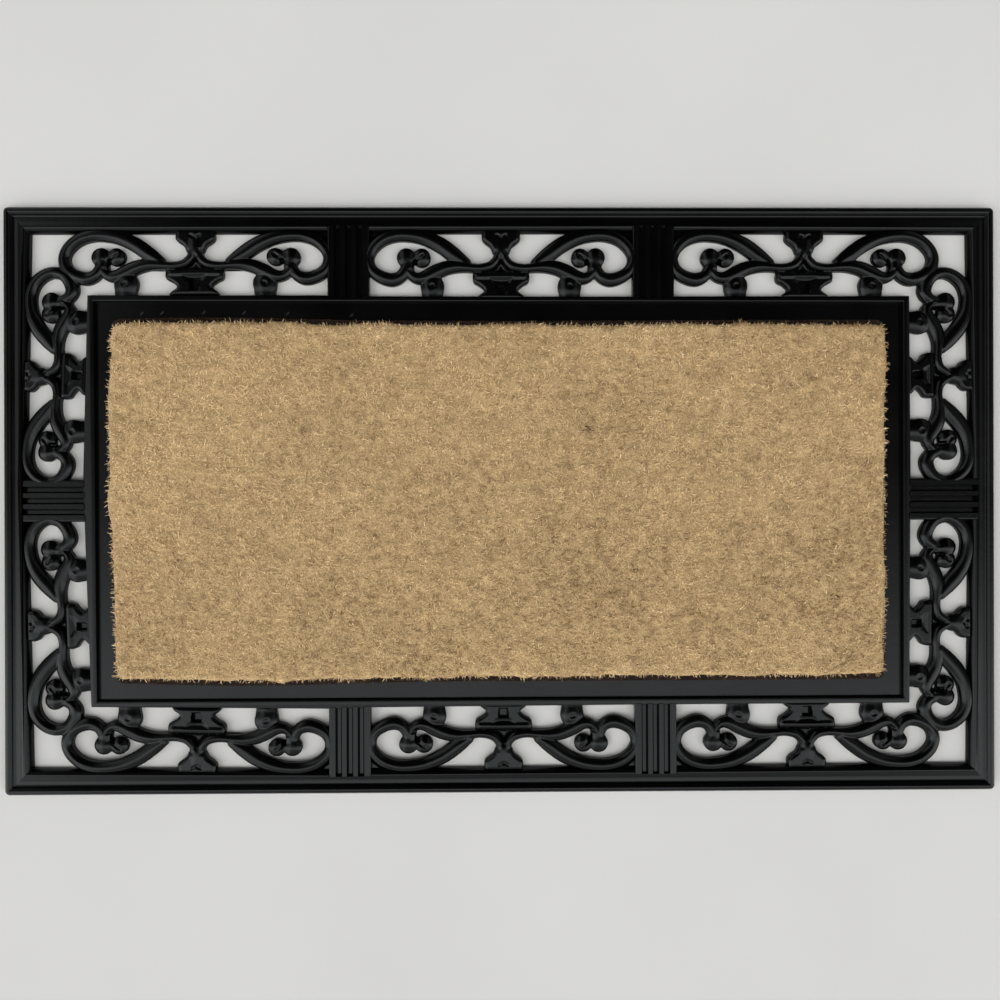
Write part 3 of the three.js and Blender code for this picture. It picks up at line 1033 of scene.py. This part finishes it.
def rubber_material():
    """Satin black moulded rubber: fine mould grain, uneven sheen and a trace of dust."""
    nodes = Nodes.material("black_rubber")
    cloud = nodes.noise(14, detail=5)
    grain = nodes.noise(900, detail=3)
    specks = nodes.noise(260, detail=6, roughness=0.7)
    tone = nodes.ramp(cloud, [(0.3, grey(0.0004)), (0.55, grey(0.0009)), (0.8, grey(0.0016))])
    dusty = nodes.map_range(specks, 0.62, 0.78, 0, 0.1)
    colour = nodes.mix(dusty, tone, (0.03, 0.028, 0.025, 1))
    rough = nodes.map_range(cloud, 0.3, 0.75, 0.18, 0.27)
    normal = nodes.bump(grain, 0.12, 0.0004)
    normal = nodes.bump(specks, 0.08, 0.0008, normal)
    sheen = {"Roughness": rough, "Specular_IOR_Level": 0.23, "Specular_Tint": (0.93, 0.96, 1.0, 1)}
    return nodes.surface(Base_Color=colour, Normal=normal, **sheen)


def pile_material():
    """The crowded fibres lower in the pile, between the tips: darker browns, darker again in patches, as
    painted shade of the depths.
    """
    nodes = Nodes.material("coir_depth")
    fine = nodes.noise(1100, detail=2)
    clump = nodes.noise(170, detail=4)
    # Painted shade of the depths: browns darker than the strands, multiplied by darker patches among the
    # clumps.
    browns = [(0.32, (0.36, 0.23, 0.10)), (0.5, (0.58, 0.40, 0.20)), (0.68, (0.80, 0.60, 0.34))]
    fibre = nodes.ramp(fine, browns)
    shade = nodes.ramp(clump, [(0.3, (0.62, 0.60, 0.56)), (0.7, (1, 1, 1))])
    colour = nodes.mix(1, fibre, shade, blend="MULTIPLY")
    normal = nodes.bump(fine, 0.6, 0.001)
    return nodes.surface(Base_Color=colour, Roughness=0.9, Normal=normal)


def strand_materials():
    """Plain shades of coconut fibre, from husk brown to pale straw."""
    dark, pale = np.array([0.30, 0.17, 0.065]), np.array([0.98, 0.76, 0.45])
    materials = []
    for number, share in enumerate(np.linspace(0, 1, FIBRE_SHADES)):
        nodes = Nodes.material(f"coir_fibre_{number + 1}")
        colour = dark + (pale - dark) * share
        materials.append(nodes.surface(Base_Color=(*colour, 1), Roughness=0.62 + 0.02 * number))
    husk = Nodes.material("coir_husk")
    materials.append(husk.surface(Base_Color=(0.07, 0.035, 0.014, 1), Roughness=0.8))
    return materials


def backing_material():
    """Dark PVC with the cut ends of fibres showing in it."""
    nodes = Nodes.material("backing_pvc")
    flecks = nodes.noise(1300, detail=1)
    cloud = nodes.noise(60, detail=4)
    base = nodes.ramp(cloud, [(0.3, (0.010, 0.006, 0.005)), (0.7, (0.022, 0.014, 0.011))])
    ends = nodes.map_range(flecks, 0.66, 0.7, 0, 1)
    colour = nodes.mix(ends, base, (0.16, 0.09, 0.045, 1))
    normal = nodes.bump(cloud, 0.3, 0.001)
    return nodes.surface(Base_Color=colour, Roughness=0.85, Normal=normal, Specular_IOR_Level=0.1)


def adhesive_material():
    nodes = Nodes.material("contact_adhesive")
    cloud = nodes.noise(45, detail=5)
    colour = nodes.ramp(cloud, [(0.3, (0.34, 0.23, 0.085)), (0.7, (0.52, 0.38, 0.16))])
    rough = nodes.map_range(cloud, 0.3, 0.7, 0.35, 0.55)
    return nodes.surface(Base_Color=colour, Roughness=rough)


def floor_material():
    nodes = Nodes.material("studio_floor")
    cloud = nodes.noise(3, detail=3)
    colour = nodes.ramp(cloud, [(0.3, (0.64, 0.64, 0.635)), (0.7, (0.68, 0.68, 0.675))])
    return nodes.surface(Base_Color=colour, Roughness=0.85)


# --- Stage --------------------------------------------------------------------------------------

CEILING = 0.012
HORIZON = 0.6
# Windows near, left and right: [way toward it, leans between which its glow rises, its strength,
# leans between which it falls, share that it falls by]. A direction's lean is its dot product
# with the way toward the window.
WINDOWS = [
    [(-0.03, -1, 0), (0.02, 0.18), 2.55, (0.36, 0.62), 0.7],
    [(-1, 0, 0), (0.38, 0.47), 1.2, (0.6, 0.8), 0.75],
    [(1, 0, 0), (0.43, 0.53), 0.42, (0.6, 0.8), 0.75],
]


def make_floor():
    half = 40.0
    mesh = bpy.data.meshes.new("floor")
    corners = [(-half, -half, 0), (half, -half, 0), (half, half, 0), (-half, half, 0)]
    mesh.from_pydata(corners, [], [(0, 1, 2, 3)])
    mesh.materials.append(floor_material())
    floor = bpy.data.objects.new("floor", mesh)
    bpy.context.scene.collection.objects.link(floor)


def make_camera():
    """Above the mat's middle, as near as the picture's converging edges say and a touch off level."""
    view_width, field_of_view, focus_height, aside = 0.769, math.radians(54), 0.0055, 0.0012
    tilt, turn = math.radians(0.59), math.radians(-0.14)
    distance = view_width / 2 / math.tan(field_of_view / 2)
    data = bpy.data.cameras.new("camera")
    data.sensor_width = 36
    data.lens = data.sensor_width / 2 / math.tan(field_of_view / 2)
    camera = bpy.data.objects.new("camera", data)
    camera.location = (-distance * math.sin(tilt) - aside, 0, focus_height + distance * math.cos(tilt))
    camera.rotation_euler = (0, -tilt, turn)
    bpy.context.scene.collection.objects.link(camera)
    bpy.context.scene.camera = camera


def make_world():
    """A room with a wide window on the near side, smaller ones left and right and a dark ceiling."""
    world = bpy.data.worlds.new("room")
    bpy.context.scene.world = world
    world.use_nodes = True
    nodes = Nodes(world.node_tree)
    direction = nodes.add("ShaderNodeTexCoord").outputs["Generated"]
    height = nodes.add("ShaderNodeSeparateXYZ", {"Vector": direction}).outputs["Z"]

    strength = CEILING
    for way, rise, glow, fall, fall_share in WINDOWS:
        dot = nodes.add("ShaderNodeVectorMath", {0: direction, 1: way}, operation="DOT_PRODUCT")
        lean = dot.outputs["Value"]
        for limits, change in ((rise, glow), (fall, -fall_share * glow)):
            part = nodes.map_range(lean, *limits, 0, change, smooth=True)
            strength = nodes.add("ShaderNodeMath", {0: strength, 1: part}, operation="ADD").outputs[0]
    horizon = nodes.map_range(height, 0.02, 0.2, HORIZON, 0, smooth=True)
    strength = nodes.add("ShaderNodeMath", {0: strength, 1: horizon}, operation="MAXIMUM").outputs[0]
    background = world.node_tree.nodes["Background"]
    background.inputs["Color"].default_value = (1.0, 0.995, 0.98, 1)
    world.node_tree.links.new(strength, background.inputs["Strength"])


# --- Assembly -----------------------------------------------------------------------------------

# Rubber never lies quite true. Each bow is [axis it moves points along, most it moves them by,
# [x, y] of its middle, [x, y] of its reach].
BOWS = [
    [0, -6.6, [-312, 42], [85, 122]],
    [0, 3.2, [350, 55], [60, 120]],
    [0, 1.6, [110, -185], [230, 45]],
    [1, 2.7, [-220, 157], [80, 35]],
    [1, 1.2, [40, 226], [150, 30]],
    [1, -0.8, [0, 150], [150, 35]],
    [1, -3.6, [-195, -160], [95, 60]],
    [1, -1.0, [40, -170], [280, 60]],
    [1, 1.2, [290, -228], [110, 25]],
]


def bow(piece):
    """Moves a piece's points the way the whole mat is pulled out of true."""
    count = len(piece.data.vertices)
    points = np.empty(count * 3)
    piece.data.vertices.foreach_get("co", points)
    points = points.reshape(count, 3)
    plan = points[:, :2] / MM
    moved = np.zeros_like(plan)
    for axis, amount, middle, reach in BOWS:
        moved[:, axis] += amount * np.exp(-(((plan - middle) / reach) ** 2).sum(1))
    points[:, :2] += moved * MM
    piece.data.vertices.foreach_set("co", points.ravel())
    piece.data.update()


def attach(piece, node):
    bow(piece)
    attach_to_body(piece, "root")
    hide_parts(node)


make_camera()
make_floor()
make_world()
bpy.context.scene.view_settings.view_transform = "Standard"

rubber = rubber_material()
for moulding in [surround_frame(rubber), *corner_frets(rubber), *middle_frets(rubber)]:
    attach(moulding, "rubber_surround")

adhesive = adhesive_piece(adhesive_material())
attach(adhesive, "adhesive_bond")

backing = backing_piece(backing_material())
attach(backing, "coir_backing")

coir = [pile_body(pile_material()), *strand_pieces(strand_materials())]
for piece in coir:
    attach(piece, "coir_pile")
